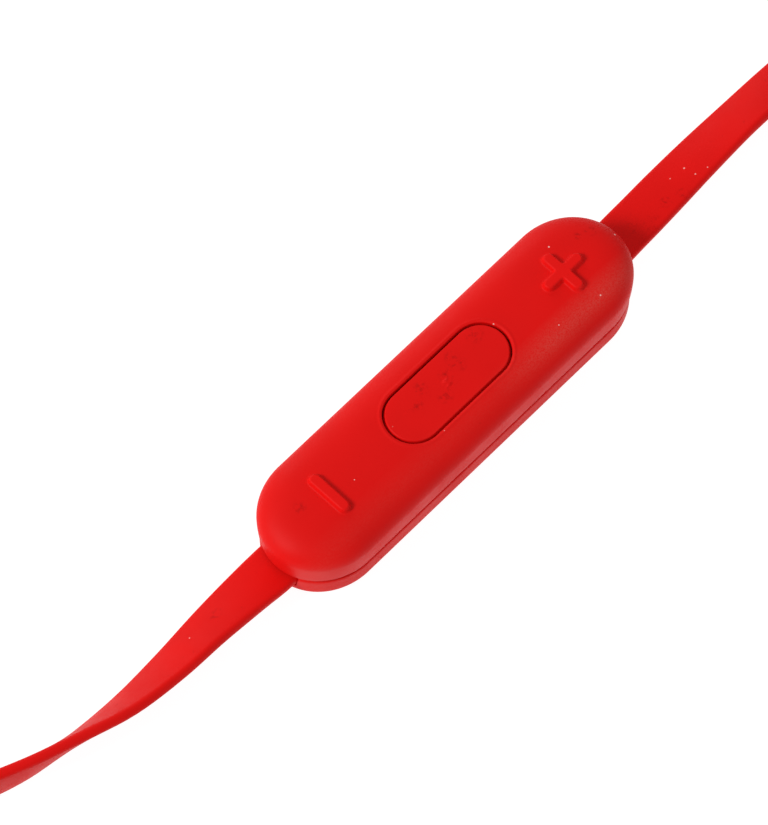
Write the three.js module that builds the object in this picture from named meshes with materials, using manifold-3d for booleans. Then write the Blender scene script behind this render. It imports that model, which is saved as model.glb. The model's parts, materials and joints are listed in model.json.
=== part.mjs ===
// Wired earphones: an in-line remote on a flat ribbon cord, with a splitter, two earbuds and a plug.
// Millimetres, +Z up. The origin is the centre of the remote's flat rear face, +X runs along the
// remote to its plus end. The cords' spare length is wound in two hanks in line with the remote.

import * as THREE from "three";
import { mergeVertices } from "three/addons/utils/BufferGeometryUtils.js";
import Module from "manifold-3d";

const wasm = await Module();
wasm.setup();

// ---------------------------------------------------------------- driving dimensions

const REMOTE = {
  halfLength: 21.0, halfWidth: 5.35, endLength: 5.9, // outline of the cover
  rim: 3.55, wallTop: 5.6, crown: 7.75, crownInset: 3.2, // heights of the cover, and its domed top
  wall: 0.95, ceiling: 6.45,
  shellInset: 0.05, shellTop: 3.25, shellWall: 0.9, shellFloor: 0.8, shellCorner: 1.4,
};
const WINDOW = { halfLength: 6.84, halfWidth: 2.71, gap: 0.3 };
const BUTTON = { flangeLength: 7.4, flangeWidth: 3.1, flangeLow: 5.75, flangeHigh: 6.15, nub: 0.4 };
const SYMBOL = { x: 14.4, half: 2.35, bar: 0.52, top: 8.12, bottom: 7.3, round: 0.2 };
const PIVOT = { z: 4.4, pinRadius: 0.5, holeRadius: 0.6, halfThick: 1.2, earIn: 2.95, earOut: 3.75,
  lugIn: 3.87, pinEnd: 4.22, earTop: 5.3 };
const BOARD = { halfLength: 16.5, halfWidth: 2.6, low: 1.7, high: 2.4 };
const RIB = { x: 9.0, halfThick: 0.4, halfWidth: 3.9 }; // ribs of the rear shell that carry the board
const SWITCH = { x: 12.4, half: 1.7, low: 2.45, high: 3.5, plunger: 3.9, radius: 0.8 };
const ACTUATOR = { low: 4.25, radius: 0.9 };
const CHIP = { x: -6.7, half: 1.6, height: 0.75 };
const SLOT = { halfWidth: 2.65, low: 1.6 };
const ANCHOR = { inner: 16.8, outer: 18.4, halfWidth: 2.6, low: 0.85, high: 3.1 };
const MIC = { x: 6.8, halfLength: 1.4, halfWidth: 1.0, height: 0.9, hole: 0.4, seal: 0.9 };
const CLEAR = 0.05; // gap between inner parts that rest on each other
const ROOM = 30; // a cutting box reaches this far past the remote

const MAIN_RIBBON = { width: 4.5, thick: 1.2 };
const BRANCH_RIBBON = { width: 2.1, thick: 1.2 };
const CORD_START = 18.7; // where both ribbons leave their anchors, either side of the remote
const JOIN = 0.3; // gap where one solid ends against the next

const TIE = { thick: 0.35, clear: 0.2, width: 5.0 };
const HANK_LOW = TIE.thick + TIE.clear;

const LOWER_HANK = { near: -73.2, far: -124.0, y: 0.8, outer: 15.0, inner: 8.9 };
const BRANCH_HANK = { near: 85.7, far: 113.5, y: 1.5, outer: 13.05, inner: 7.25 };

const SPLITTER = {
  start: 52.5, end: 63.5, halfWidth: 3.5, endLength: 2.2, high: 3.5, wall: 0.7, round: 0.8,
  slotLow: 1.0, slotHigh: 2.5, branchSlot: 2.6, seam: 0.03, coreLength: 3.6, coreWidth: 2.3,
};
const PLUG = { y: 2.5, z: 2.75, relief: -88.5, grip: -97.5, contacts: -111.6, radius: 1.75, core: 0.9 };
const EARBUD = { y: 6.2, z: 8.9, leftStart: 92.5, rightStart: 105.5 };

// Routes of the ribbons where they are not wound: x, y, z, and how far the left edge is raised (deg).
const LOWER_ROUTE = [
  [-CORD_START, 0.3, 2.45, 0], [-23.5, 0.42, 2.45, 12], [-28.5, 0.48, 2.4, 26], [-33.3, 0.4, 2.3, 37],
  [-38.3, 0.6, 2.3, 50], [-42.8, 1.33, 2.4, 66], [-48.5, 2.6, 2.5, 83], [-54.0, 4.9, 2.6, 90],
  [-59.8, 9.45, 2.75, 90],
];
const LOWER_END_ROUTE = [
  [-74.0, 8.7, 2.8, 90], [-78.0, 8.2, 2.8, 90], [-82.0, 5.7, 2.8, 90], [-85.5, 3.2, 2.8, 90],
  [PLUG.relief + JOIN, PLUG.y, PLUG.z, 90],
];
const UPPER_ROUTE = [
  [CORD_START, 0.3, 2.45, 0], [22.5, 0.53, 2.45, 14], [25.5, 0.63, 2.45, 28], [28.5, 0.77, 2.4, 35],
  [33.0, 0.94, 2.35, 45], [38.5, 1.0, 2.35, 52], [43.0, 0.9, 2.25, 46], [47.0, 0.6, 2.1, 28],
  [50.0, 0.2, 1.85, 8], [SPLITTER.start - JOIN, 0, 1.75, 0],
];
// The two branches leave the splitter side by side; the last value is the offset from this line.
const BRANCH_ROUTE = [
  [SPLITTER.end + JOIN, 0, 1.75, 0, 1.35], [66.2, 0.05, 1.75, 25, 1.3], [68.6, 0.7, 1.7, 65, 1.05],
  [70.9, 2.7, 1.65, 90, 0.8],
];
const LEFT_LEAD_ROUTE = [
  [79.4, 5.9, 4.15, 90], [82.6, 7.5, 5.8, 90], [86.5, 7.3, 7.6, 90], [89.8, 6.6, 8.6, 90],
  [EARBUD.leftStart - JOIN, EARBUD.y, EARBUD.z, 90],
];
const RIGHT_LEAD_ROUTE = [
  [118.6, -5.0, 4.15, 90], [115.4, -6.6, 5.8, 90], [111.5, -6.9, 7.6, 90], [108.2, -6.5, 8.6, 90],
  [EARBUD.rightStart + JOIN, -EARBUD.y, EARBUD.z, 90],
];

// ---------------------------------------------------------------- materials

const material = (color, roughness, metalness = 0) =>
  new THREE.MeshStandardMaterial({ color, roughness, metalness });

const MATERIALS = {
  softTouch: material(0xd81412, 0.55),
  ribbon: material(0xd41613, 0.6),
  silicone: material(0x2a2a2c, 0.7),
  board: material(0x14522c, 0.5),
  moulding: material(0x1c1c1e, 0.6),
  steel: material(0xb8babd, 0.3, 1),
  gold: material(0xd8b46a, 0.25, 1),
  polymer: material(0xd9d5c8, 0.4),
};

// ---------------------------------------------------------------- shape helpers

/** A closed solid from a geometry, for joining and cutting. */
function solid(geometry) {
  const bare = geometry.clone();
  bare.deleteAttribute("normal");
  bare.deleteAttribute("uv");
  const merged = mergeVertices(bare, 1e-4);
  return new wasm.Manifold(new wasm.Mesh({
    numProp: 3,
    vertProperties: new Float32Array(merged.attributes.position.array),
    triVerts: new Uint32Array(merged.index.array),
  }));
}

/** A geometry from a joined or cut solid. */
function geometryOf(body) {
  const mesh = body.getMesh();
  const geometry = new THREE.BufferGeometry();
  geometry.setAttribute("position", new THREE.BufferAttribute(mesh.vertProperties, 3));
  geometry.setIndex(new THREE.BufferAttribute(mesh.triVerts, 1));
  geometry.computeVertexNormals();
  return geometry;
}

/** Two values with the lower one first. */
const span = (a, b) => [Math.min(a, b), Math.max(a, b)];

/** A box from its two corners. */
function box(x0, x1, y0, y1, z0, z1) {
  return new THREE.BoxGeometry(x1 - x0, y1 - y0, z1 - z0)
    .translate((x0 + x1) / 2, (y0 + y1) / 2, (z0 + z1) / 2);
}

/** An upright cylinder between two heights. */
function post(x, y, radius, z0, z1, sides = 16) {
  return new THREE.CylinderGeometry(radius, radius, z1 - z0, sides)
    .rotateX(Math.PI / 2)
    .translate(x, y, (z0 + z1) / 2);
}

/** A cylinder along Y between two widths. */
function crossPin(radius, y0, y1, z, sides = 12) {
  return new THREE.CylinderGeometry(radius, radius, y1 - y0, sides).translate(0, (y0 + y1) / 2, z);
}

/** A long outline about the origin with straight sides and half-elliptic ends. */
function capsule(halfLength, halfWidth, endLength) {
  const straight = halfLength - endLength;
  const shape = new THREE.Shape();
  shape.moveTo(-straight, -halfWidth);
  shape.lineTo(straight, -halfWidth);
  shape.absellipse(straight, 0, endLength, halfWidth, -Math.PI / 2, Math.PI / 2, false, 0);
  shape.lineTo(-straight, halfWidth);
  shape.absellipse(-straight, 0, endLength, halfWidth, Math.PI / 2, Math.PI * 1.5, false, 0);
  return shape;
}

/** A straight-walled solid on an outline between two heights. */
function prism(shape, z0, z1, curveSegments = 8) {
  return new THREE.ExtrudeGeometry(shape, { depth: z1 - z0, bevelEnabled: false, curveSegments })
    .translate(0, 0, z0);
}

/** A solid on an outline whose rims are rounded inwards, `round` high and `inset` wide. */
function rounded(shape, z0, z1, round, inset, bevelSegments, curveSegments = 8) {
  return new THREE.ExtrudeGeometry(shape, {
    depth: z1 - z0 - 2 * round, bevelEnabled: true, bevelThickness: round, bevelSize: inset,
    bevelOffset: -inset, bevelSegments, curveSegments,
  }).translate(0, 0, z0 + round);
}

/** A solid of revolution along X: `profile` holds [distance along the axis, radius] pairs. */
function turned(profile, { x, y, z, heading }, segments = 20) {
  const points = profile.map(([along, radius]) => new THREE.Vector2(radius, along));
  const geometry = new THREE.LatheGeometry(points, segments);
  return geometry
    .rotateZ(heading > 0 ? -Math.PI / 2 : Math.PI / 2)
    .translate(x, y, z);
}

/** The centre line of a ribbon, with its own frames so that the flat side faces where it should. */
class RibbonPath extends THREE.CatmullRomCurve3 {
  constructor(route) {
    super(route.map(([x, y, z]) => new THREE.Vector3(x, y, z)), false, "centripetal");
    this.rolls = route.map((point) => THREE.MathUtils.degToRad(point[3]));
  }

  rollAt(u) {
    const place = this.getUtoTmapping(u) * (this.rolls.length - 1);
    const index = Math.min(Math.floor(place), this.rolls.length - 2);
    return THREE.MathUtils.lerp(this.rolls[index], this.rolls[index + 1], place - index);
  }

  computeFrenetFrames(steps) {
    const frames = { tangents: [], normals: [], binormals: [] };
    for (let step = 0; step <= steps; step += 1) {
      const tangent = this.getTangentAt(step / steps);
      const width = new THREE.Vector3(-tangent.y, tangent.x, 0).normalize();
      width.applyAxisAngle(tangent, this.rollAt(step / steps));
      frames.tangents.push(tangent);
      frames.normals.push(width);
      frames.binormals.push(new THREE.Vector3().crossVectors(tangent, width));
    }
    return frames;
  }
}

/** A flat ribbon with soft corners along a route. */
function ribbon(route, { width, thick }, steps) {
  const [w, h, corner] = [width / 2, thick / 2, thick / 3];
  const shape = new THREE.Shape([
    [w, -h + corner], [w, h - corner], [w - corner, h], [-w + corner, h],
    [-w, h - corner], [-w, -h + corner], [-w + corner, -h], [w - corner, -h],
  ].map(([x, y]) => new THREE.Vector2(x, y)));
  return new THREE.ExtrudeGeometry(shape, { steps, extrudePath: new RibbonPath(route) });
}

/** One of two routes that run side by side: `side` is +1 for the left one and -1 for the right. */
function besideRoute(route, side) {
  return route.map(([x, y, z, roll, offset], index) => {
    const ahead = route[Math.min(index + 1, route.length - 1)];
    const behind = route[Math.max(index - 1, 0)];
    const heading = index === 0 ? 0 : Math.atan2(ahead[1] - behind[1], ahead[0] - behind[0]);
    return [x - side * offset * Math.sin(heading), y + side * offset * Math.cos(heading), z, roll];
  });
}

/** The outer shape of a hank: a ring with straight runs along X and round ends. */
function hankRing({ near, far, y, outer, inner }, height) {
  const [low, high] = span(near, far);
  const outline = (path, radius) => {
    path.moveTo(low, y - radius);
    path.lineTo(high, y - radius);
    path.absarc(high, y, radius, -Math.PI / 2, Math.PI / 2, false);
    path.lineTo(low, y + radius);
    path.absarc(low, y, radius, Math.PI / 2, Math.PI * 1.5, false);
    return path;
  };
  const shape = outline(new THREE.Shape(), outer);
  shape.holes.push(outline(new THREE.Path(), inner));
  return prism(shape, HANK_LOW, HANK_LOW + height, 8);
}

/** A soft band closed round one straight run of a hank. */
function tieBand(x, y0, y1, height) {
  const top = HANK_LOW + height + TIE.clear;
  const [left, right] = [y0 - TIE.clear, y1 + TIE.clear];
  const shape = new THREE.Shape();
  const corner = 0.6;
  shape.moveTo(left - TIE.thick + corner, 0);
  shape.lineTo(right + TIE.thick - corner, 0);
  shape.lineTo(right + TIE.thick, corner);
  shape.lineTo(right + TIE.thick, top + TIE.thick - corner);
  shape.lineTo(right + TIE.thick - corner, top + TIE.thick);
  shape.lineTo(left - TIE.thick + corner, top + TIE.thick);
  shape.lineTo(left - TIE.thick, top + TIE.thick - corner);
  shape.lineTo(left - TIE.thick, corner);
  const hole = new THREE.Path();
  const soft = corner - TIE.thick / 2;
  hole.moveTo(left + soft, TIE.thick);
  hole.lineTo(left, TIE.thick + soft);
  hole.lineTo(left, top - soft);
  hole.lineTo(left + soft, top);
  hole.lineTo(right - soft, top);
  hole.lineTo(right, top - soft);
  hole.lineTo(right, TIE.thick + soft);
  hole.lineTo(right - soft, TIE.thick);
  shape.holes.push(hole);
  return new THREE.ExtrudeGeometry(shape, { depth: TIE.width, bevelEnabled: false })
    .rotateX(Math.PI / 2)
    .rotateZ(Math.PI / 2)
    .translate(x - TIE.width / 2, 0, 0);
}

// ---------------------------------------------------------------- the assembly

const earphones = new THREE.Group();

function add(name, geometry, finish) {
  const mesh = new THREE.Mesh(geometry, finish);
  mesh.name = name;
  earphones.add(mesh);
}

/** The domed outer form that the cover and the button's face share. */
function crownForm() {
  const outline = capsule(REMOTE.halfLength, REMOTE.halfWidth, REMOTE.endLength);
  const round = REMOTE.crown - REMOTE.wallTop;
  return solid(rounded(outline, REMOTE.rim - 2 * round, REMOTE.crown, round, REMOTE.crownInset, 5));
}

/** One raised bar of a key's symbol, lying along X or across it. */
function symbolBar(x, across) {
  const outline = capsule(SYMBOL.half, SYMBOL.bar, SYMBOL.bar);
  const bar = rounded(outline, SYMBOL.bottom, SYMBOL.top, SYMBOL.round, SYMBOL.round, 2, 4);
  if (across) bar.rotateZ(Math.PI / 2);
  return solid(bar.translate(x, 0, 0));
}

function frontCover() {
  const { halfLength, halfWidth, endLength, wall, rim, ceiling } = REMOTE;
  const inside = capsule(halfLength - wall, halfWidth - wall, endLength - wall);
  const opening = capsule(WINDOW.halfLength, WINDOW.halfWidth, WINDOW.halfWidth);
  let cover = crownForm()
    .subtract(solid(box(-ROOM, ROOM, -ROOM, ROOM, -ROOM, rim)))
    .subtract(solid(prism(inside, rim - 1, ceiling)))
    .subtract(solid(prism(opening, ceiling - 1, REMOTE.crown + 1)))
    .add(symbolBar(-SYMBOL.x, true))
    .add(symbolBar(SYMBOL.x, true))
    .add(symbolBar(SYMBOL.x, false));
  for (const end of [-1, 1]) {
    cover = cover.add(solid(post(end * SWITCH.x, 0, ACTUATOR.radius, ACTUATOR.low, ceiling + 0.3, 12)));
  }
  for (const side of [-1, 1]) {
    const [near, far] = span(side * PIVOT.lugIn, side * (halfWidth - wall + 0.1));
    const [holeNear, holeFar] = span(side * (PIVOT.lugIn - 0.2), side * (PIVOT.pinEnd + 0.08));
    cover = cover
      .add(solid(box(-PIVOT.halfThick, PIVOT.halfThick, near, far, rim + 0.1, ceiling + 0.05)))
      .subtract(solid(crossPin(PIVOT.holeRadius, holeNear, holeFar, PIVOT.z)));
  }
  return geometryOf(cover);
}

function centreButton() {
  const faceWidth = WINDOW.halfWidth - WINDOW.gap;
  const face = capsule(WINDOW.halfLength - WINDOW.gap, faceWidth, faceWidth);
  const nub = new THREE.SphereGeometry(BUTTON.nub, 10, 8).scale(1, 1, 0.4);
  const flange = capsule(BUTTON.flangeLength, BUTTON.flangeWidth, BUTTON.flangeWidth);
  const button = crownForm()
    .intersect(solid(prism(face, BUTTON.flangeHigh - 0.05, REMOTE.crown + 1)))
    .add(solid(prism(flange, BUTTON.flangeLow, BUTTON.flangeHigh)))
    .add(solid(post(0, 0, ACTUATOR.radius, ACTUATOR.low, BUTTON.flangeLow + 0.1, 12)))
    .add(solid(nub.translate(0, 0, REMOTE.crown)));
  return geometryOf(button);
}

function rearShell() {
  const { shellInset, shellTop, shellWall, shellFloor, shellCorner } = REMOTE;
  const inset = (amount) =>
    capsule(REMOTE.halfLength - amount, REMOTE.halfWidth - amount, REMOTE.endLength - amount);
  const outside = rounded(inset(shellInset), 0, shellTop + 2 * shellCorner, shellCorner, shellCorner, 4);
  let shell = solid(outside)
    .subtract(solid(box(-ROOM, ROOM, -ROOM, ROOM, shellTop, ROOM)))
    .subtract(solid(prism(inset(shellInset + shellWall), shellFloor, shellTop + 1)))
    .subtract(solid(post(MIC.x, 0, MIC.hole, -1, shellFloor + 1, 10)));
  for (const end of [-1, 1]) {
    const [inner, outer] = span(end * (ANCHOR.outer - 0.4), end * (REMOTE.halfLength + 1));
    const [ribLow, ribHigh] = [end * RIB.x - RIB.halfThick, end * RIB.x + RIB.halfThick];
    shell = shell
      .subtract(solid(box(inner, outer, -SLOT.halfWidth, SLOT.halfWidth, SLOT.low, shellTop + 1)))
      .add(solid(box(ribLow, ribHigh, -RIB.halfWidth, RIB.halfWidth, shellFloor - 0.1, BOARD.low - CLEAR)));
  }
  for (const side of [-1, 1]) {
    const [near, far] = span(side * PIVOT.earIn, side * PIVOT.earOut);
    shell = shell
      .add(solid(box(-PIVOT.halfThick, PIVOT.halfThick, near, far, shellFloor - 0.1, PIVOT.earTop)))
      .subtract(solid(crossPin(PIVOT.holeRadius, near - 0.1, far + 0.1, PIVOT.z)));
  }
  return geometryOf(shell);
}

function tactSwitch(x) {
  const { half, low, high, plunger, radius } = SWITCH;
  return geometryOf(solid(box(x - half, x + half, -half, half, low, high))
    .add(solid(post(x, 0, radius, high - 0.1, plunger, 12))));
}

function circuitBoard() {
  const { halfLength, halfWidth, low, high } = BOARD;
  return geometryOf(solid(box(-halfLength, halfLength, -halfWidth, halfWidth, low, high))
    .subtract(solid(post(MIC.x, 0, MIC.hole, low - 1, high + 1, 10))));
}

function micGasket() {
  return geometryOf(solid(post(MIC.x, 0, MIC.seal, REMOTE.shellFloor + CLEAR, BOARD.low - CLEAR, 12))
    .subtract(solid(post(MIC.x, 0, MIC.hole, 0, BOARD.high, 10))));
}

function cordAnchor(end) {
  const [x0, x1] = span(end * ANCHOR.inner, end * ANCHOR.outer);
  return box(x0, x1, -ANCHOR.halfWidth, ANCHOR.halfWidth, ANCHOR.low, ANCHOR.high);
}

/** A part soldered on the board: a box on its upper face. */
function onBoard(x, halfLength, halfWidth, height) {
  return box(x - halfLength, x + halfLength, -halfWidth, halfWidth, SWITCH.low, SWITCH.low + height);
}

function addRemote() {
  add("front_cover", frontCover(), MATERIALS.softTouch);
  add("centre_button", centreButton(), MATERIALS.softTouch);
  add("rear_shell", rearShell(), MATERIALS.softTouch);
  add("pivot_pin_a", crossPin(PIVOT.pinRadius, -PIVOT.pinEnd, -PIVOT.earIn, PIVOT.z), MATERIALS.steel);
  add("pivot_pin_b", crossPin(PIVOT.pinRadius, PIVOT.earIn, PIVOT.pinEnd, PIVOT.z), MATERIALS.steel);
  add("circuit_board", circuitBoard(), MATERIALS.board);
  add("minus_switch", tactSwitch(-SWITCH.x), MATERIALS.moulding);
  add("centre_switch", tactSwitch(0), MATERIALS.moulding);
  add("plus_switch", tactSwitch(SWITCH.x), MATERIALS.moulding);
  add("control_chip", onBoard(CHIP.x, CHIP.half, CHIP.half, CHIP.height), MATERIALS.moulding);
  add("microphone", onBoard(MIC.x, MIC.halfLength, MIC.halfWidth, MIC.height), MATERIALS.steel);
  add("microphone_gasket", micGasket(), MATERIALS.silicone);
  add("cord_anchor_lower", cordAnchor(-1), MATERIALS.moulding);
  add("cord_anchor_upper", cordAnchor(1), MATERIALS.moulding);
}

function addCords() {
  add("lower_cord", ribbon(LOWER_ROUTE, MAIN_RIBBON, 16), MATERIALS.ribbon);
  add("lower_hank", hankRing(LOWER_HANK, MAIN_RIBBON.width), MATERIALS.ribbon);
  add("lower_cord_end", ribbon(LOWER_END_ROUTE, MAIN_RIBBON, 8), MATERIALS.ribbon);
  add("upper_cord", ribbon(UPPER_ROUTE, MAIN_RIBBON, 14), MATERIALS.ribbon);
  add("left_branch", ribbon(besideRoute(BRANCH_ROUTE, 1), BRANCH_RIBBON, 6), MATERIALS.ribbon);
  add("right_branch", ribbon(besideRoute(BRANCH_ROUTE, -1), BRANCH_RIBBON, 6), MATERIALS.ribbon);
  add("branch_hank", hankRing(BRANCH_HANK, BRANCH_RIBBON.width), MATERIALS.ribbon);
  add("left_lead", ribbon(LEFT_LEAD_ROUTE, BRANCH_RIBBON, 7), MATERIALS.ribbon);
  add("right_lead", ribbon(RIGHT_LEAD_ROUTE, BRANCH_RIBBON, 7), MATERIALS.ribbon);
}

function addTies() {
  const places = [["tie_a", LOWER_HANK, 1, MAIN_RIBBON], ["tie_b", LOWER_HANK, -1, MAIN_RIBBON],
    ["tie_c", BRANCH_HANK, 1, BRANCH_RIBBON], ["tie_d", BRANCH_HANK, -1, BRANCH_RIBBON]];
  for (const [name, hank, side, { width }] of places) {
    const [y0, y1] = span(hank.y + side * hank.inner, hank.y + side * hank.outer);
    add(name, tieBand((hank.near + hank.far) / 2, y0, y1, width), MATERIALS.silicone);
  }
}

function addSplitter() {
  const { halfWidth, endLength, high, wall, round, slotLow, slotHigh, branchSlot, seam } = SPLITTER;
  const middle = high / 2;
  const halfLength = (SPLITTER.end - SPLITTER.start) / 2;
  const centre = SPLITTER.start + halfLength;
  const outline = capsule(halfLength, halfWidth, endLength);
  const inside = capsule(halfLength - wall, halfWidth - wall, endLength - wall);
  const body = solid(rounded(outline, 0, high, round, round, 3, 5))
    .subtract(solid(prism(inside, wall, high - wall, 5)))
    .subtract(solid(box(-ROOM, 0, -SLOT.halfWidth, SLOT.halfWidth, slotLow, slotHigh)))
    .subtract(solid(box(0, ROOM, -branchSlot, branchSlot, slotLow, slotHigh)));
  const half = (z0, z1) => {
    const layer = solid(box(-ROOM, ROOM, -ROOM, ROOM, z0, z1));
    return geometryOf(body.intersect(layer)).translate(centre, 0, 0);
  };
  const { coreLength, coreWidth } = SPLITTER;
  const [coreLow, coreHigh] = [wall + 2 * CLEAR, high - wall - 2 * CLEAR];
  const core = box(-coreLength, coreLength, -coreWidth, coreWidth, coreLow, coreHigh);
  add("splitter_top", half(middle + seam, high + 1), MATERIALS.softTouch);
  add("splitter_bottom", half(-1, middle - seam), MATERIALS.softTouch);
  add("splitter_core", core.translate(centre, 0, 0), MATERIALS.moulding);
}

/** The plug's outer profiles, each from its own start: distance along the axis and radius. */
const PLUG_PROFILES = {
  relief: [[0, 0], [0, 1.5], [3, 1.7], [8.7, 2.1], [8.7, 0]],
  grip: [[0, 0], [0, 2.3], [0.6, 2.7], [12.4, 2.75], [13.4, 2.5], [13.8, 2.0], [13.8, 0]],
  tip: [[0, 0], [0, 1.75], [0.5, 1.75], [1.3, 1.15], [2.2, 1.65], [3.9, 0.5], [3.9, 0]],
};

/** Where the plug's contacts start behind the grip, and how long each of them is. */
const CONTACTS = { sleeve: [0.05, 3.8], ring_a: [4.35, 2.3], ring_b: [7.15, 2.3], tip: [10.0, 3.9] };

/** The insulator is a core with a collar in each gap between two contacts. */
function insulatorProfile(core, collar) {
  const gaps = [[3.9, 4.3], [6.7, 7.1], [9.5, 9.9]];
  const steps = gaps.flatMap(([start, end]) => [
    [start, core], [start, collar], [end, collar], [end, core],
  ]);
  return [[0, 0], [0, core], ...steps.slice(0, -1), [9.9, 0]];
}

function addPlug() {
  const at = (x) => ({ x, y: PLUG.y, z: PLUG.z, heading: -1 });
  const { radius, core, contacts } = PLUG;
  const bore = core + CLEAR;
  add("plug_relief", turned(PLUG_PROFILES.relief, at(PLUG.relief), 16), MATERIALS.silicone);
  add("plug_grip", turned(PLUG_PROFILES.grip, at(PLUG.grip)), MATERIALS.softTouch);
  add("plug_insulator", turned(insulatorProfile(core, radius - 0.1), at(contacts), 16), MATERIALS.moulding);
  for (const part of ["sleeve", "ring_a", "ring_b"]) {
    const [start, length] = CONTACTS[part];
    const ring = [[0, bore], [0, radius], [length, radius], [length, bore], [0, bore]];
    add(`plug_${part}`, turned(ring, at(contacts - start), 16), MATERIALS.gold);
  }
  add("plug_tip", turned(PLUG_PROFILES.tip, at(contacts - CONTACTS.tip[0]), 16), MATERIALS.gold);
}

/** One earbud: its parts follow each other along its own axis from the cord's end to the ear. */
function addEarbud(side, x, y, heading) {
  const at = (along) => ({ x: x + heading * along, y, z: EARBUD.z, heading });
  const put = (part, along, profile, finish, segments) =>
    add(`${side}_${part}`, turned(profile, at(along), segments), finish);
  put("relief", 0, [[0, 0], [0, 1.35], [4, 1.6], [8.7, 2.2], [8.7, 0]], MATERIALS.softTouch, 14);
  put("rear_cap", 9, [[0, 0], [0, 2.4], [0.9, 3.7], [2.2, 4.6], [3.6, 5.0], [3.6, 4.2], [2.4, 3.7],
    [1.2, 2.6], [1.0, 0]], MATERIALS.softTouch);
  put("housing", 12.7, [[0, 4.2], [0, 5.0], [3.4, 4.9], [5.6, 4.3], [6.4, 3.2], [6.4, 2.5], [5.6, 2.5],
    [5.0, 3.5], [3.0, 4.2], [0, 4.2]], MATERIALS.softTouch);
  put("driver_frame", 13.0, [[0, 2.6], [0, 4.0], [2.6, 4.0], [2.6, 3.4], [0.7, 3.4], [0.7, 2.6], [0, 2.6]],
    MATERIALS.moulding, 16);
  put("magnet", 11.9, [[0, 0], [0, 2.4], [2.4, 2.4], [2.4, 0]], MATERIALS.steel, 14);
  put("diaphragm", 14.5, [[0, 0], [0, 1.6], [0, 3.2], [0.2, 3.2], [0.35, 1.6], [0.6, 0]],
    MATERIALS.polymer, 14);
  put("nozzle", 19.2, [[0, 1.7], [0, 3.0], [0.9, 3.0], [0.9, 2.2], [3.4, 2.2], [3.7, 2.5], [4.3, 2.5],
    [4.3, 1.7], [0, 1.7]], MATERIALS.softTouch, 18);
  put("screen", 22.6, [[0, 0], [0, 1.6], [0.3, 1.6], [0.3, 0]], MATERIALS.steel, 14);
  put("ear_tip", 20.3, [[0, 2.75], [0, 3.4], [1.4, 3.5], [1.6, 4.4], [0.4, 5.2], [0.6, 5.6], [2.6, 5.5],
    [5.4, 4.7], [7.4, 3.4], [7.8, 2.5], [7.4, 2.0], [5.0, 2.0], [4.4, 2.75], [0, 2.75]],
    MATERIALS.silicone);
}

addRemote();
addCords();
addTies();
addSplitter();
addPlug();
addEarbud("left", EARBUD.leftStart, EARBUD.y, 1);
addEarbud("right", EARBUD.rightStart, -EARBUD.y, -1);

export default earphones;
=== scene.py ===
"""Wired earphones: an in-line remote on a flat ribbon cord, a splitter, two earbuds and a plug.

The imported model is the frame. Every fine surface here is a numpy grid that stands for a CAD node.
"""

import json
import math

import bpy
import numpy as np
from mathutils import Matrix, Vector


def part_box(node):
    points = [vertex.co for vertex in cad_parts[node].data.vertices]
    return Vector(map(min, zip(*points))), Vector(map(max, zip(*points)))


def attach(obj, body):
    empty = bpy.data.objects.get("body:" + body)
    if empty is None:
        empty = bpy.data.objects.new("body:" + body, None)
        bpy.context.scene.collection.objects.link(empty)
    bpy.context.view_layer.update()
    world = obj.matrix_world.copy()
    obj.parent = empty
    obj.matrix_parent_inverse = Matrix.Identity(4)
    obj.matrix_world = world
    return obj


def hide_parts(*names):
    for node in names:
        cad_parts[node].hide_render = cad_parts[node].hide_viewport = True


bl_info = {
    "name": "Ribbon-cord earphones",
    "version": (1, 0, 0),
    "blender": (4, 5, 0),
    "location": "View3D > Sidebar > Earphones",
    "description": "Builds the fine surfaces, materials and studio of a set of wired earphones",
    "category": "Object",
}

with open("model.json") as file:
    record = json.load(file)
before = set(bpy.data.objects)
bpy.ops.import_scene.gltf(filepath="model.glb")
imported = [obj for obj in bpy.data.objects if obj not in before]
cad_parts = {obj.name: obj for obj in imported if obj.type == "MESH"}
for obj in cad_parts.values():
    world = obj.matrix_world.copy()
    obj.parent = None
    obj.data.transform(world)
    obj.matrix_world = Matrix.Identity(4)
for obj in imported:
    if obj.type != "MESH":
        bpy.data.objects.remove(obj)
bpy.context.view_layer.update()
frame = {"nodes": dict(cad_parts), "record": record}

# ---------------------------------------------------------------- sizes, worked out from the frame

MM = 0.001


def node_box(name):
    """The lowest and highest corner of a CAD node, in millimetres."""
    low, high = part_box(name)
    return np.array(low) / MM, np.array(high) / MM


COVER_LOW, COVER_HIGH = node_box("front_cover")
SHELL_LOW, SHELL_HIGH = node_box("rear_shell")
BUTTON_HIGH = node_box("centre_button")[1]
SPLIT_LOW, SPLIT_HIGH = node_box("splitter_bottom")[0], node_box("splitter_top")[1]

COVER = {
    "length": COVER_HIGH[0], "width": COVER_HIGH[1], "end": 5.9,
    "rim": COVER_LOW[2], "shoulder": 6.0, "crown": 8.15, "bulge": 0.12, "wall": 0.95, "ceiling": 6.45,
    "soft": 0.18,
}
SHELL = {"end": 5.85, "top": 3.2, "corner": 1.4, "wall": 0.9, "floor": 0.8, "soft": 0.2}
SLOT = {"y": 0.3, "width": 2.32, "low": 1.78}
MICROPHONE = (6.8, 0.4)
PIVOT = {"half": 1.2, "z": 4.4, "hole": 0.6, "ear": (2.95, 3.75), "ear_top": 5.3, "lug": (3.87, 4.45)}
ACTUATOR = {"x": 12.4, "low": 4.25, "radius": 0.9}
WINDOW = {"length": 6.84, "width": 2.71, "gap": 0.2}
KEY = {"sunk": 0.05, "soft": 0.14, "nub": 0.13, "ledge": 7.6, "ledge_gap": 0.08, "flange": 6.15,
       "flange_low": 5.75}
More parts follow.
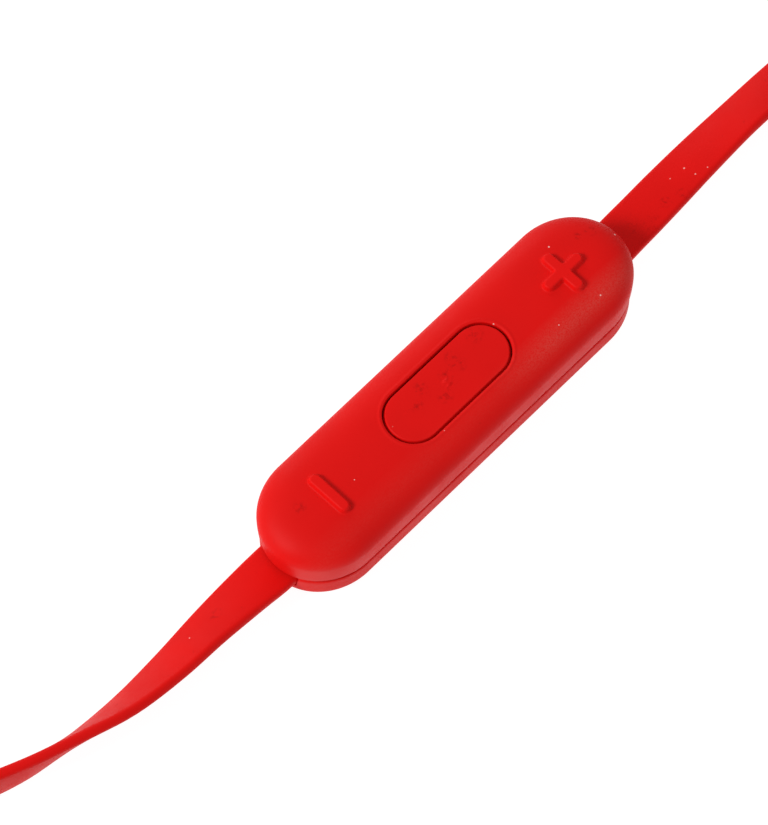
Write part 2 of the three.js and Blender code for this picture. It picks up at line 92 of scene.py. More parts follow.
SYMBOL = {"x": 14.4, "reach": 2.36, "core": 0.4, "foot": 0.66, "height": 0.5, "blend": 0.07}
LIP = {"round": 0.12, "bead": 0.035, "bead_at": 0.24, "bead_width": 0.12, "even": 0.9}

RIBBON = {"width": 4.5, "thick": 1.2, "round": 0.42, "bow": 0.1}
BRANCH = {"width": 2.1, "thick": 1.2, "round": 0.42, "bow": 0.06}
PAIR_OFFSET = 0.75
SPLITTER = {"end": 2.2, "round": 0.8, "wall": 0.7, "soft": 0.12, "slot": 1.0, "branch_slot": 2.6}
TIE = {"thick": 0.35, "corner": 0.9, "soft": 0.12}
PLUG = {"y": 2.5, "z": 2.75, "relief": -88.5, "grip": -97.5, "contacts": -111.6, "radius": 1.75}
EARBUD = {"y": 6.2, "z": 8.9, "left": 92.5, "right": 105.5}

# Routes of the free ribbons: x, y, z in millimetres and how far the left edge is raised, in degrees.
LOWER_ROUTE = [
    (-18.7, 0.3, 2.45, 0), (-21.2, 0.33, 2.45, 1), (-24.0, 0.42, 2.45, 12), (-28.5, 0.48, 2.4, 26),
    (-33.3, 0.4, 2.3, 37), (-38.3, 0.6, 2.3, 50), (-42.8, 1.33, 2.4, 66), (-48.5, 2.6, 2.5, 83),
    (-54.0, 4.9, 2.6, 90), (-58.8, 8.6, 2.75, 90),
]
LOWER_END_ROUTE = [
    (-74.0, 8.7, 2.8, 90), (-78.0, 8.2, 2.8, 90), (-82.0, 5.7, 2.8, 90), (-85.5, 3.2, 2.8, 90),
    (PLUG["relief"] + 0.2, PLUG["y"], PLUG["z"], 90),
]
UPPER_ROUTE = [
    (18.7, 0.3, 2.45, 0), (22.5, 0.53, 2.45, -1), (25.5, 0.63, 2.45, -3), (28.5, 0.77, 2.4, -6),
    (33.0, 0.94, 2.35, -14), (38.5, 1.0, 2.35, -22), (43.0, 0.9, 2.25, -20), (47.0, 0.6, 2.1, -12),
    (50.0, 0.2, 1.85, -4), (52.4, 0, 1.75, 0),
]
# The pair's middle line; the last value is how far each branch lies to its side of that line.
BRANCH_ROUTE = [
    (63.8, 0, 1.75, 0, 1.35), (66.2, 0.05, 1.75, 25, 1.3), (68.6, 0.7, 1.7, 65, 1.05),
    (70.9, 2.7, 1.65, 90, 0.8), (72.5, 5.3, 1.6, 90, PAIR_OFFSET), (73.9, 7.7, 1.6, 90, PAIR_OFFSET),
]
LEFT_LEAD_ROUTE = [
    (77.3, 3.2, 2.3, 90, 0), (79.4, 5.9, 4.15, 90, 0), (82.6, 7.5, 5.8, 90, 0), (86.5, 7.3, 7.6, 90, 0),
    (89.8, 6.6, 8.6, 90, 0), (EARBUD["left"] - 0.2, EARBUD["y"], EARBUD["z"], 90, 0),
]
RIGHT_LEAD_ROUTE = [
    (120.7, -2.4, 2.3, 90, 0), (118.6, -5.0, 4.15, 90, 0), (115.4, -6.6, 5.8, 90, 0),
    (111.5, -6.9, 7.6, 90, 0), (108.2, -6.5, 8.6, 90, 0),
    (EARBUD["right"] + 0.2, -EARBUD["y"], EARBUD["z"], 90, 0),
]
RELIEF = {"length": 9.1, "ribs": 6, "depth": 0.18, "plug": (1.5, 2.1), "earbud": (1.4, 2.2)}
HANK = {"near": -72.0, "far": -124.0, "radius": 15.1, "pitch": 1.6, "z": 2.8}
BRANCH_HANK = {"near": 84.5, "far": 113.5, "radius": 13.1, "pitch": 3.0, "z": 1.6}

CAMERA = {"azimuth": -45.96, "elevation": 66.0, "distance": 431.0, "lens": 218.2, "sensor": 36.0,
          "right": -5.405, "up": -0.603, "height": 3.3}


# ---------------------------------------------------------------- colours and user settings


def linear(code):
    """An sRGB hex colour as linear RGBA."""
    values = [int(code[i:i + 2], 16) / 255 for i in (0, 2, 4)]
    return (*[v / 12.92 if v <= 0.04045 else ((v + 0.055) / 1.055) ** 2.4 for v in values], 1.0)


def colour_property(name, description, code):
    """A colour setting whose default is an sRGB hex colour."""
    return bpy.props.FloatVectorProperty(
        name=name, description=description, subtype="COLOR", size=4, min=0.0, max=1.0,
        default=linear(code),
    )


class EarphoneSizes(bpy.types.PropertyGroup):
    """Sizes that a user would change."""

    symbol_height: bpy.props.FloatProperty(
        name="Symbol height", description="How far the plus and minus stand up, in millimetres",
        default=SYMBOL["height"], min=0.1, max=0.6,
    )
    lip_bead: bpy.props.FloatProperty(
        name="Window bead", description="Height of the bead round the key's window, in millimetres",
        default=LIP["bead"], min=0.0, max=0.2,
    )
    grain: bpy.props.FloatProperty(
        name="Grain", description="Spacing of the moulded grain, in millimetres",
        default=0.28, min=0.05, max=2.0,
    )
    ribbon_step: bpy.props.FloatProperty(
        name="Ribbon step", description="Distance between the ribbon's cross sections, in millimetres",
        default=0.9, min=0.3, max=4.0,
    )
    turned_sides: bpy.props.IntProperty(
        name="Turned sides", description="Number of facets round a turned piece", default=72, min=12, max=160,
    )


class EarphoneColours(bpy.types.PropertyGroup):
    """Colours that a user would change."""

    rubber: colour_property("Soft-touch red", "Colour of the remote's moulded skin", "DC0E0B")
    ribbon: colour_property("Ribbon red", "Colour of the extruded ribbon", "DC0E0B")
    silicone: colour_property("Silicone", "Colour of the ear tips and ties", "26262A")
    floor: colour_property("Floor", "Colour of the studio floor", "FBFBFB")


# ---------------------------------------------------------------- mesh helpers


class Surface:
    """Grids of points gathered into one mesh: rows run along a profile, columns run round it."""

    def __init__(self):
        self.points = []
        self.faces = []
        self.count = 0

    def add(self, grid, wrap_rows=False, fan_start=False, fan_end=False):
        """Adds a grid whose columns close on themselves; a fan closes an open first or last row."""
        rows, columns, _ = grid.shape
        index = np.arange(rows * columns).reshape(rows, columns)
        following = np.roll(index, -1, axis=1)
        upper = np.roll(index, -1, axis=0) if wrap_rows else index[1:]
        upper_following = np.roll(upper, -1, axis=1)
        lower, lower_following = (index, following) if wrap_rows else (index[:-1], following[:-1])
        quads = np.stack([lower, lower_following, upper_following, upper], axis=-1).reshape(-1, 4)
        points = grid.reshape(-1, 3)
        faces = quads.tolist()
        extra = []
        for wanted, row, turned in ((fan_start, 0, True), (fan_end, rows - 1, False)):
            if not wanted:
                continue
            centre = len(points) + len(extra)
            extra.append(grid[row].mean(axis=0))
            pair = (following[row], index[row]) if turned else (index[row], following[row])
            faces += np.stack([pair[0], pair[1], np.full(columns, centre)], axis=-1).tolist()
        if extra:
            points = np.concatenate([points, np.array(extra)])
        if signed_volume(points, faces) < 0:
            faces = [face[::-1] for face in faces]
        self.points.append(points)
        self.faces += [[i + self.count for i in face] for face in faces]
        self.count += len(points)
        return self

    def build(self, name, material):
        """Makes the object at the origin, in metres and smooth-shaded."""
        mesh = bpy.data.meshes.new(name)
        mesh.from_pydata((np.concatenate(self.points) * MM).tolist(), [], self.faces)
        mesh.shade_smooth()
        mesh.materials.append(material)
        mesh.update()
        piece = bpy.data.objects.new(name, mesh)
        bpy.context.scene.collection.objects.link(piece)
        return piece


def signed_volume(points, faces):
    """Six times the volume that the faces close; it is negative if they point inwards."""
    quads = np.array([face for face in faces if len(face) == 4])
    fans = np.array([face for face in faces if len(face) == 3])
    triangles = [quads[:, [0, 1, 2]], quads[:, [0, 2, 3]]] if len(quads) else []
    if len(fans):
        triangles.append(fans)
    corners = points[np.concatenate(triangles)]
    return np.einsum("ij,ij->", corners[:, 0], np.cross(corners[:, 1], corners[:, 2]))


def smoothstep(low, high, value):
    """0 below low, 1 above high, and 3t^2 - 2t^3 between them."""
    t = np.clip((value - low) / (high - low), 0.0, 1.0)
    return t * t * (3 - 2 * t)


def capsule_loop(length, width, end, straight=60, bend=120):
    """Points round an outline with straight sides and half-elliptic ends, as an array of x and y.

    The loop runs anticlockwise from the start of the lower straight side.
    """
    run = np.linspace(-1, 1, straight, endpoint=False)
    angle = np.linspace(-math.pi / 2, math.pi / 2, bend, endpoint=False)
    flat = length - end
    lower = np.stack([run * flat, np.full(straight, -width)], axis=-1)
    right = np.stack([flat + end * np.cos(angle), width * np.sin(angle)], axis=-1)
    return np.concatenate([lower, right, -lower, -right])


def raised(loop, height):
    """A loop of x and y lifted to a height, which may be one number or one for each point."""
    return np.concatenate([loop, np.broadcast_to(height, (len(loop),))[:, None]], axis=-1)


def softened(profile, radius=0.25, steps=5):
    """A profile whose corners are rounded by quadratic curves that start `radius` from each corner.

    The radius shrinks to 0.45 of a shorter neighbouring side.
    """
    profile = np.array(profile, dtype=float)
    rounded = [profile[:1]]
    blend = np.linspace(0, 1, steps)[:, None]
    for before, corner, after in zip(profile[:-2], profile[1:-1], profile[2:]):
        back, ahead = before - corner, after - corner
        reach = min(radius, 0.45 * np.linalg.norm(back), 0.45 * np.linalg.norm(ahead))
        start = corner + back / np.linalg.norm(back) * reach
        end = corner + ahead / np.linalg.norm(ahead) * reach
        rounded.append((1 - blend) ** 2 * start + 2 * blend * (1 - blend) * corner + blend ** 2 * end)
    rounded.append(profile[-1:])
    return np.concatenate(rounded)


def turned(profile, x, y, z, heading, sides):
    """A profile of distance along the axis and radius, turned round a line parallel to X."""
    angle = np.linspace(0, 2 * math.pi, sides, endpoint=False)
    along = np.broadcast_to(profile[:, :1], (len(profile), sides))
    radius = profile[:, 1:]
    return np.stack(
        [x + heading * along, y + radius * np.cos(angle), z + radius * np.sin(angle)], axis=-1)


def upright(x, y, radius, low, high, sides=24, soft=0.08):
    """The side of a small upright post, with a softened rim, to be closed with fans."""
    angle = np.linspace(0, 2 * math.pi, sides, endpoint=False)
    rows = [(radius - soft, low), (radius, low + soft), (radius, high - soft), (radius - soft, high)]
    return np.stack([
        np.stack([x + r * np.cos(angle), y + r * np.sin(angle), np.full(sides, h)], axis=-1)
        for r, h in rows
    ])


def eyed_plate(near, far, half_width, low, high, hole_z, hole_radius, sides=48):
    """An upright plate across Y with a round hole: outer edge, far face, hole and near face."""
    angle = np.linspace(0, 2 * math.pi, sides, endpoint=False)
    square = np.maximum(np.abs(np.cos(angle)), np.abs(np.sin(angle)))
    outer_x = half_width * np.cos(angle) / square
    middle, half_height = (low + high) / 2, (high - low) / 2
    outer_z = middle + half_height * np.sin(angle) / square
    hole_x = hole_radius * np.cos(angle)
    hole_height = hole_z + hole_radius * np.sin(angle)
    return np.stack([
        np.stack([outer_x, np.full(sides, near), outer_z], axis=-1),
        np.stack([outer_x, np.full(sides, far), outer_z], axis=-1),
        np.stack([hole_x, np.full(sides, far), hole_height], axis=-1),
        np.stack([hole_x, np.full(sides, near), hole_height], axis=-1),
    ])


# ---------------------------------------------------------------- ribbon paths


def even_curve(points, step):
    """A smooth curve through points of any number of columns, cut into even steps.

    Centripetal Catmull-Rom: each span runs at a speed that grows with the root of its length.
    """
    points = np.asarray(points, dtype=float)
    gaps = np.sqrt(np.linalg.norm(np.diff(points[:, :3], axis=0), axis=1))
    ends = np.concatenate([2 * points[:1] - points[1:2], points, 2 * points[-1:] - points[-2:-1]])
    gaps = np.concatenate([gaps[:1], gaps, gaps[-1:]])[:, None]
    first, second = ends[:-3], ends[1:-2]
    third, fourth = ends[2:-1], ends[3:]
    g0, g1, g2 = gaps[:-2], gaps[1:-1], gaps[2:]
    leave = ((second - first) / g0 - (third - first) / (g0 + g1) + (third - second) / g1) * g1
    arrive = ((third - second) / g1 - (fourth - second) / (g1 + g2) + (fourth - third) / g2) * g1
    t = np.linspace(0, 1, 16, endpoint=False)[None, :, None]
    a, b = second[:, None], third[:, None]
    m0, m1 = leave[:, None], arrive[:, None]
    dense = ((2 * t ** 3 - 3 * t ** 2 + 1) * a + (t ** 3 - 2 * t ** 2 + t) * m0
             + (3 * t ** 2 - 2 * t ** 3) * b + (t ** 3 - t ** 2) * m1)
    dense = np.concatenate([dense.reshape(-1, points.shape[1]), points[-1:]])
    travelled = np.concatenate([[0], np.cumsum(np.linalg.norm(np.diff(dense[:, :3], axis=0), axis=1))])
    stations = np.linspace(0, travelled[-1], max(int(travelled[-1] / step), 12) + 1)
    columns = [np.interp(stations, travelled, dense[:, i]) for i in range(points.shape[1])]
    return np.stack(columns, axis=-1)


def wound(near, far, radius, pitch, halves, first_angle, last_sweep=180.0):
    """The middle line, as x and y, of a flat winding that starts and ends on its near round end.

    Each full turn lies one pitch inside the one before. The near ends turn about y = 0 and the far
    ends about y = pitch / 2, so that the straight runs meet both without a step. The first stretch
    starts `first_angle` degrees before the near end's top, and the last end turns `last_sweep`.
    """
    side = math.copysign(1, far - near)
    angles = np.radians(np.arange(first_angle, 1.0, -8.0))
    points = [(near - side * radius * math.sin(a), radius * math.cos(a)) for a in angles]
    for half in range(halves):
        turn, at_near = divmod(half, 2)
        level = radius - pitch * (turn + at_near)
        bend = level if at_near else level - pitch / 2
        sweep = last_sweep if half == halves - 1 else 180.0
        run = np.linspace(0.12, 0.88, 5)
        arc = np.radians(np.arange(0.0, sweep + 1, 15.0))
        if at_near:
            points += [(far + (near - far) * r, -level) for r in run]
            points += [(near - side * bend * math.sin(a), -bend * math.cos(a)) for a in arc]
        else:
            points += [(near + (far - near) * r, level) for r in run]
            points += [(far + side * bend * math.sin(a), pitch / 2 + bend * math.cos(a)) for a in arc]
    return points


def beside(path, offset):
    """A path moved to its level left by an offset for each point."""
    ahead = np.gradient(path[:, :2], axis=0)
    ahead /= np.linalg.norm(ahead, axis=1, keepdims=True)
    moved = path.copy()
    moved[:, 0] -= ahead[:, 1] * offset
    moved[:, 1] += ahead[:, 0] * offset
    return moved


def ribbon_grid(path, size, side_points=7):
    """The skin of a flat ribbon: a rounded rectangle carried along a path of x, y, z and roll.

    The roll is how far the left edge is raised, in degrees, and both faces bow outwards a little.
    """
    thick, corner = size["thick"], size["round"]
    centre = path[:, :3]
    tangent = np.gradient(centre, axis=0)
    tangent /= np.linalg.norm(tangent, axis=1, keepdims=True)
    level = np.stack([-tangent[:, 1], tangent[:, 0], np.zeros(len(path))], axis=-1)
    level /= np.linalg.norm(level, axis=1, keepdims=True)
    raise_way = np.cross(tangent, level)
    roll = np.radians(path[:, 3:4])
    broad = level * np.cos(roll) + raise_way * np.sin(roll)
    narrow = np.cross(tangent, broad)
    angle = np.radians(np.arange(0.0, 91.0, 18.0))
    across = size["width"] / 2 - corner
    flat = np.linspace(across, -across, side_points + 2)[1:-1]
    top = np.stack([flat, thick / 2 - size["bow"] * (flat / across) ** 2], axis=-1)
    shoulder = thick / 2 - size["bow"] - corner
    quarter = np.stack([across + corner * np.cos(angle), shoulder + corner * np.sin(angle)], axis=-1)
    mirrored = quarter[::-1] * [-1, 1]
    half = np.concatenate([quarter, top, mirrored])
    section = np.concatenate([half, -half])
    return centre[:, None] + section[:, :1] * broad[:, None] + section[:, 1:] * narrow[:, None]


# ---------------------------------------------------------------- materials


def add_node(tree, kind, settings=None, inputs=None):
    """Adds a node, sets its settings, and sets or links each input; a linked one is given as a socket."""
    node = tree.nodes.new(kind)
    for key, value in (settings or {}).items():
        setattr(node, key, value)
    for key, value in (inputs or {}).items():
        if isinstance(value, bpy.types.NodeSocket):
            tree.links.new(value, node.inputs[key])
        else:
            node.inputs[key].default_value = value
    return node


def start_material(name, **inputs):
    """A material with a Principled shader whose constant values are set on its own sockets."""
    material = bpy.data.materials.new(name)
    material.use_nodes = True
    tree = material.node_tree
    tree.nodes.clear()
    shader = add_node(tree, "ShaderNodeBsdfPrincipled", inputs=inputs)
    add_node(tree, "ShaderNodeOutputMaterial", inputs={"Surface": shader.outputs["BSDF"]})
    place = add_node(tree, "ShaderNodeTexCoord").outputs["Object"]
    return material, tree, shader, place


def seen_from_above(tree, place):
    """The place with its height left out, for marks that are given by x and y alone."""
    inputs = {0: place, 1: (1.0, 1.0, 0.0)}
    return add_node(tree, "ShaderNodeVectorMath", {"operation": "MULTIPLY"}, inputs).outputs["Vector"]


def spots(tree, place, marks):
    """A mask that is 1 near each mark, given as x, y, z and radius in millimetres."""
    total = 0.0
    for x, y, z, radius in marks:
        inputs = {0: place, 1: (x * MM, y * MM, z * MM)}
        away = add_node(tree, "ShaderNodeVectorMath", {"operation": "DISTANCE"}, inputs).outputs["Value"]
        mark = spread(tree, away, 0.35 * radius * MM, radius * MM, 1.0, 0.0)
        total = add_node(tree, "ShaderNodeMath", {"operation": "MAXIMUM"}, {0: mark, 1: total}).outputs[0]
    return total


def product(tree, first, second):
    """Two values multiplied."""
    return add_node(tree, "ShaderNodeMath", {"operation": "MULTIPLY"}, {0: first, 1: second}).outputs[0]


def noise(tree, place, spacing_mm, detail=3.0, roughness=0.55):
    """A noise pattern whose lumps are about that many millimetres apart."""
    inputs = {"Vector": place, "Scale": 1.0 / (spacing_mm * MM), "Detail": detail, "Roughness": roughness}
    return add_node(tree, "ShaderNodeTexNoise", inputs=inputs).outputs["Fac"]


def spread(tree, value, low, high, to_low, to_high):
    """A value moved from one range to another."""
    inputs = {"Value": value, "From Min": low, "From Max": high, "To Min": to_low, "To Max": to_high}
    return add_node(tree, "ShaderNodeMapRange", inputs=inputs).outputs["Result"]


def tinted(tree, factor, first, second):
    """One colour mixed into another; either may be a socket."""
    node = add_node(tree, "ShaderNodeMix", {"data_type": "RGBA"})
    for key, value in (("Factor_Float", factor), ("A_Color", first), ("B_Color", second)):
        socket = next(s for s in node.inputs if s.identifier == key)
        if isinstance(value, bpy.types.NodeSocket):
            tree.links.new(value, socket)
        else:
            socket.default_value = value
    return next(s for s in node.outputs if s.identifier == "Result_Color")


LINT = ((15.4, 2.6, 0.1), (20.6, -0.4, 0.12), (6.7, 0.95, 0.1), (-2.1, 2.55, 0.08), (-6.2, 0.5, 0.07),
        (15.2, -3.7, 0.09), (10.6, -3.1, 0.07), (-12.0, -0.6, 0.06), (-3.4, -2.9, 0.06))
RIM_LINT = ((0.9, -5.6, 3.5, 0.12),)
THUMB_MARKS = ((1.9, 0.54, 0.9), (-1.0, -0.67, 0.9), (-2.0, 1.32, 0.8), (4.9, 1.5, 1.0), (1.9, 1.4, 0.8),
               (-3.4, 0.3, 0.7), (0.4, 0.6, 0.8), (19.1, 1.2, 0.7), (17.9, 1.6, 0.5), (-17.0, 1.0, 0.7))


DUST = {"rise": (-5.0, -3.9), "fall": (-3.6, -1.9), "along": (2.0, 9.0), "share": (0.1, 0.45)}


def symbol_mask(tree, axes):
    """1 on the bars of the raised symbols and 0 beside them, from the place's X and Y."""
    def beyond(axis, centre):
        inputs = {0: axes[axis], 1: centre * MM}
        shifted = add_node(tree, "ShaderNodeMath", {"operation": "SUBTRACT"}, inputs).outputs[0]
        return add_node(tree, "ShaderNodeMath", {"operation": "ABSOLUTE"}, {0: shifted}).outputs[0]

    total = 0.0
    bars = ((-SYMBOL["x"], "Y", "X"), (SYMBOL["x"], "Y", "X"), (SYMBOL["x"], "X", "Y"))
    for centre, long_axis, short_axis in bars:
        middle = {"X": centre, "Y": 0.0}
        long = beyond(long_axis, middle[long_axis])
        short = beyond(short_axis, middle[short_axis])
        bar = product(tree, spread(tree, long, (SYMBOL["reach"] - 0.15) * MM, SYMBOL["reach"] * MM, 1.0, 0.0),
                      spread(tree, short, SYMBOL["core"] * MM, SYMBOL["foot"] * MM, 1.0, 0.0))
        total = add_node(tree, "ShaderNodeMath", {"operation": "MAXIMUM"}, {0: bar, 1: total}).outputs[0]
    return total


def on_cover(marks):
    """Marks given as x, y and radius, lifted onto the remote's dome."""
    return [(x, y, float(crown_height(x, y)), radius) for x, y, radius in marks]


def soft_touch_elastomer(colour, grain_mm):
    """Moulded soft-touch elastomer: a matte, finely sparked skin that holds dust and dulls unevenly.

    Thumb marks darken the key, a dusty band lies along one shoulder, and a few specks of lint stick.
    """
    material, tree, shader, place = start_material(
        "soft_touch_elastomer_moulded", **{"IOR": 1.5, "Specular IOR Level": 0.1, "Roughness": 0.5})
    cloud = noise(tree, place, 7.0, 2.0)
    base = tinted(tree, spread(tree, cloud, 0.35, 0.65, 0.0, 1.0), colour, shade(colour, 0.95))
    axes = add_node(tree, "ShaderNodeSeparateXYZ", inputs={"Vector": place}).outputs
    fine = spread(tree, noise(tree, place, 0.12, 2.0, 0.6), 0.35, 0.65, 0.2, 1.0)
    rise, fall, along = ([value * MM for value in DUST[key]] for key in ("rise", "fall", "along"))
    band = product(tree, spread(tree, axes["Y"], *rise, 0.0, 1.0), spread(tree, axes["Y"], *fall, 1.0, 0.0))
    band = product(tree, band, spread(tree, axes["X"], *along, *DUST["share"]))
    base = tinted(tree, product(tree, band, fine), base, linear("D4564C"))
    patchy = spread(tree, noise(tree, place, 0.5, 4.0, 0.7), 0.47, 0.64, 0.0, 0.5)
    thumbed = spots(tree, place, on_cover(THUMB_MARKS))
    base = tinted(tree, product(tree, thumbed, patchy), base, shade(colour, 0.35))
    stray = spread(tree, noise(tree, place, 0.8, 4.0, 0.7), 0.66, 0.76, 0.0, 0.3)
    base = tinted(tree, stray, base, shade(colour, 0.55))
    base = tinted(tree, product(tree, symbol_mask(tree, axes), 0.5), base, shade(colour, 1.12))
    lint = spots(tree, place, (*on_cover(LINT), *RIM_LINT))
    base = tinted(tree, product(tree, lint, 0.85), base, linear("F6CFC8"))
    tree.links.new(base, shader.inputs["Base Color"])
    tree.links.new(spread(tree, noise(tree, place, 3.0), 0.3, 0.7, 0.46, 0.56), shader.inputs["Roughness"])
    grain = noise(tree, place, grain_mm, 2.0)
    bump = add_node(tree, "ShaderNodeBump", inputs={"Height": grain, "Strength": 0.22, "Distance": 0.02 * MM})
    tree.links.new(bump.outputs["Normal"], shader.inputs["Normal"])
    return material


def shade(colour, amount):
    """A colour made darker or lighter by a factor on its linear values."""
    return (*[min(1.0, value * amount) for value in colour[:3]], 1.0)


RIBBON_LINT = ((31.2, 0.9, 0, 0.11), (31.4, -0.25, 0, 0.1), (29.6, 1.1, 0, 0.07), (-30.5, 0.9, 0, 0.08),
               (32.6, -0.6, 0, 0.08))
# Darker patches on the ribbon as x, y, z and radius in millimetres: scuffs, and painted shade beside the
# remote's upper end and on the ribbon's lower-right half.
RIBBON_SCUFFS_AND_SHADE = ((29.2, -0.9, 0, 0.9), (25.3, -1.0, 0, 1.1), (27.6, -0.2, 0, 0.8), (23.6, 0.2, 0, 0.8),
                (-27.5, 0.7, 0, 0.8))


def ribbon_elastomer(colour):
    """Extruded thermoplastic elastomer: a satin skin with darker patches near the remote, partly scuffs and
    partly painted shade, stray dirt and a little lint.
    """
    material, tree, shader, place = start_material(
        "ribbon_elastomer_extruded", **{"IOR": 1.5, "Specular IOR Level": 0.09, "Roughness": 0.5})
    cloud = noise(tree, place, 5.0, 2.0)
    base = tinted(tree, spread(tree, cloud, 0.35, 0.65, 0.0, 1.0), colour, shade(colour, 0.94))
    patchy = spread(tree, noise(tree, place, 0.45, 4.0, 0.7), 0.5, 0.64, 0.0, 0.4)
    above = seen_from_above(tree, place)
    # Darker patches: scuffs, and painted shade where the remote shades the ribbon next to its upper end.
    base = tinted(tree, product(tree, spots(tree, above, RIBBON_SCUFFS_AND_SHADE), patchy), base, shade(colour, 0.4))
    dirt = spread(tree, noise(tree, place, 0.7, 4.0, 0.7), 0.64, 0.74, 0.0, 0.3)
    base = tinted(tree, dirt, base, shade(colour, 0.5))
    base = tinted(tree, product(tree, spots(tree, above, RIBBON_LINT), 0.7), base, linear("F2C0B8"))
    tree.links.new(base, shader.inputs["Base Color"])
    tree.links.new(spread(tree, noise(tree, place, 2.0), 0.3, 0.7, 0.46, 0.57), shader.inputs["Roughness"])
    grain = noise(tree, place, 0.22, 2.0)
    bump = add_node(tree, "ShaderNodeBump", inputs={"Height": grain, "Strength": 0.18, "Distance": 0.02 * MM})
    tree.links.new(bump.outputs["Normal"], shader.inputs["Normal"])
    return material


def moulded_silicone(colour):
    """Liquid silicone rubber: dark, faintly glossy and soft-edged, with a film of handling dust."""
    material, tree, shader, place = start_material(
        "silicone_moulded", **{"IOR": 1.41, "Roughness": 0.45, "Subsurface Weight": 0.05,
                               "Subsurface Scale": 0.6 * MM})
    dust = noise(tree, place, 0.6, 4.0, 0.7)
    base = tinted(tree, spread(tree, dust, 0.55, 0.75, 0.0, 0.35), colour, linear("5A5A5E"))
    tree.links.new(base, shader.inputs["Base Color"])
    tree.links.new(spread(tree, dust, 0.3, 0.7, 0.36, 0.56), shader.inputs["Roughness"])
    bump = add_node(tree, "ShaderNodeBump",
                    inputs={"Height": noise(tree, place, 0.3, 2.0), "Strength": 0.12, "Distance": 0.02 * MM})
    tree.links.new(bump.outputs["Normal"], shader.inputs["Normal"])
    return material


def moulded_nylon():
    """Glass-filled nylon, moulded: near black with a dry, slightly fibrous surface."""
    material, tree, shader, place = start_material("nylon_moulded", **{"IOR": 1.53, "Roughness": 0.55})
    fibre = noise(tree, place, 0.4, 3.0)
    tree.links.new(tinted(tree, fibre, linear("151517"), linear("26262A")), shader.inputs["Base Color"])
    tree.links.new(spread(tree, fibre, 0.3, 0.7, 0.48, 0.65), shader.inputs["Roughness"])
    return material


def solder_resist_laminate():
    """Glass-epoxy laminate under green solder resist, with the tracks showing as faint lighter lines."""
    material, tree, shader, place = start_material(
        "solder_resist_laminate", **{"IOR": 1.55, "Roughness": 0.3})
    track = add_node(tree, "ShaderNodeTexBrick", inputs={"Vector": place, "Scale": 1 / (2.4 * MM)})
    base = tinted(tree, track.outputs["Fac"], linear("17552F"), linear("2C7A48"))
    tree.links.new(base, shader.inputs["Base Color"])
    tree.links.new(spread(tree, noise(tree, place, 1.0), 0.3, 0.7, 0.25, 0.38), shader.inputs["Roughness"])
    return material


def metal(name, code, rough_low, rough_high, grain_mm):
    """A bare or plated metal with a fine drawn or ground finish that breaks its reflection up."""
    material, tree, shader, place = start_material(name, **{"Base Color": linear(code), "Metallic": 1.0})
    grain = noise(tree, place, grain_mm, 3.0)
    tree.links.new(spread(tree, grain, 0.3, 0.7, rough_low, rough_high), shader.inputs["Roughness"])
    bump = add_node(tree, "ShaderNodeBump", inputs={"Height": grain, "Strength": 0.06, "Distance": 0.01 * MM})
    tree.links.new(bump.outputs["Normal"], shader.inputs["Normal"])
    return material


def polyester_film():
    """Thin pressed polyester film, as a driver's diaphragm: pale, clear-edged and glossy."""
    material, tree, shader, place = start_material(
        "polyester_film_pressed", **{"IOR": 1.64, "Roughness": 0.2})
    base = tinted(tree, noise(tree, place, 0.8), linear("D8D2C0"), linear("C6BFA8"))
    tree.links.new(base, shader.inputs["Base Color"])
    return material


def opal_acrylic(colour):
    """Opal acrylic of a light table: matte, glowing from below, so that it holds next to no shadow."""
    material, tree, shader, place = start_material(
        "opal_acrylic_lit", **{"Roughness": 1.0, "Specular IOR Level": 0.0,
                               "Emission Color": colour, "Emission Strength": 0.98})
    grain = noise(tree, place, 8.0, 2.0)
    base = tinted(tree, grain, shade(colour, 0.2), shade(colour, 0.19))
    tree.links.new(base, shader.inputs["Base Color"])
    return material


MATERIALS = {}


def make_materials(sizes, colours):
    """Makes each finish once, under the name of the record's slot that it belongs to."""
    MATERIALS.update({
        "soft_touch_red": soft_touch_elastomer(tuple(colours.rubber), sizes.grain),
        "ribbon_elastomer": ribbon_elastomer(tuple(colours.ribbon)),
        "silicone": moulded_silicone(tuple(colours.silicone)),
        "board_laminate": solder_resist_laminate(),
        "black_moulding": moulded_nylon(),
        "steel": metal("stainless_steel_ground", "C4C6C8", 0.24, 0.38, 0.15),
        "gold_plate": metal("gold_flash_plated", "E2BC6C", 0.16, 0.28, 0.4),
        "diaphragm_film": polyester_film(),
    })


def finish_piece(surface, name, slot, body, *nodes):
    """Builds a piece, gives it its finish, makes it ride on its body and stand for its CAD nodes."""
    piece = surface.build(name, MATERIALS[slot])
    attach(piece, body)
    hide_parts(*nodes)
    return piece


# ---------------------------------------------------------------- the remote


def crown_height(x, y):
    """The cover's top, shoulder + rise sqrt(1 - q^3.5), where q is 0 on its spine and 1 on its outline."""
    end, width = COVER["end"] + COVER["bulge"], COVER["width"] + COVER["bulge"]
    beyond = np.maximum(np.abs(x) - (COVER["length"] - COVER["end"]), 0) / end
    across = np.minimum(np.hypot(beyond, y / width), 1.0)
    rise = COVER["crown"] - COVER["shoulder"]
    return COVER["shoulder"] + rise * np.sqrt(1 - across ** 3.5)


def bar_distance(x, y, centre, across):
    """The distance to a bar's core line, which lies along X or across it."""
    x, y = (y, x - centre) if across else (x - centre, y)
    reach = SYMBOL["reach"] - SYMBOL["foot"]
    return np.hypot(x - np.clip(x, -reach, reach), y)


def symbol_relief(x, y, height):
    """The raised minus and plus: full height within the core, falling to the cover at the foot."""
    minus = bar_distance(x, y, -SYMBOL["x"], True)
    along = bar_distance(x, y, SYMBOL["x"], False)
    across = bar_distance(x, y, SYMBOL["x"], True)
    blend = SYMBOL["blend"]
    plus = -blend * np.log(np.exp(-along / blend) + np.exp(-across / blend))
    nearest = np.minimum(minus, plus)
    return height * (1 - smoothstep(SYMBOL["core"], SYMBOL["foot"], nearest))


